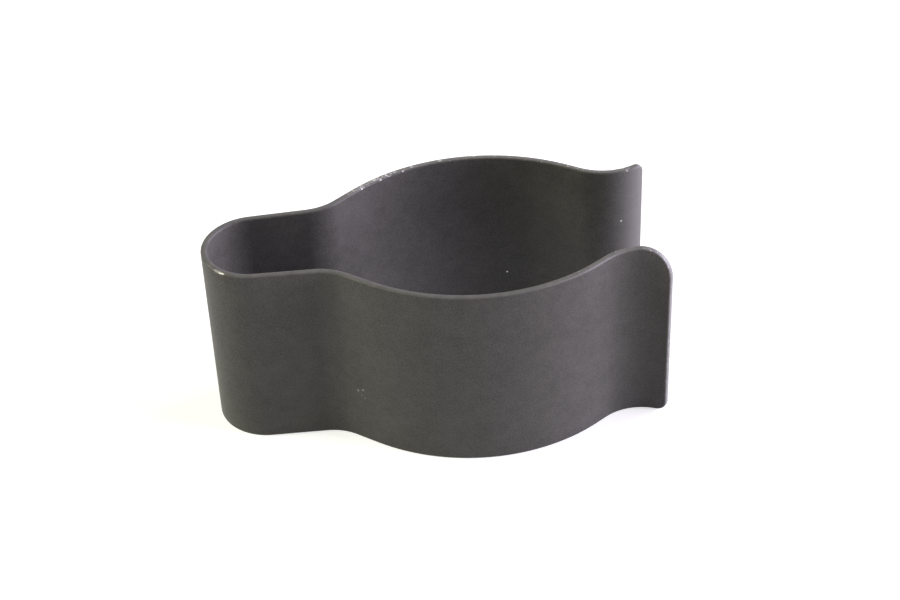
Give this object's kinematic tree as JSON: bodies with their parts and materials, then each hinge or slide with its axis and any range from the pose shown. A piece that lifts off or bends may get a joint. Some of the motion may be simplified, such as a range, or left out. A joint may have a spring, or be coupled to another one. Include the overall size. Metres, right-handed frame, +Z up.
{
  "type": "wire clip",
  "caption": "Spring clip bent from one flat steel strip: a round loop for wires, a short flat neck, bowed jaws that snap over a tube, and flared lips with rounded corners.",
  "frame": {"origin": "on the axis of the tube that the jaws grip, where the jaws are widest, level with the strip's lower edge", "axes": "+X out of the mouth, away from the loop; +Z up, along the gripped tube and the wires; the arms lie either side of the XZ plane, and the front lip with the rounder corner is on -Y"},
  "size_m": [0.0426, 0.0228, 0.019],
  "materials": {
    "phosphate_steel": "dark grey phosphate on spring steel, satin, rubbed to pale metal in specks along the edges"
  },
  "bodies": {
    "root": {"spring_clip": "phosphate_steel"}
  },
  "joints": []
}
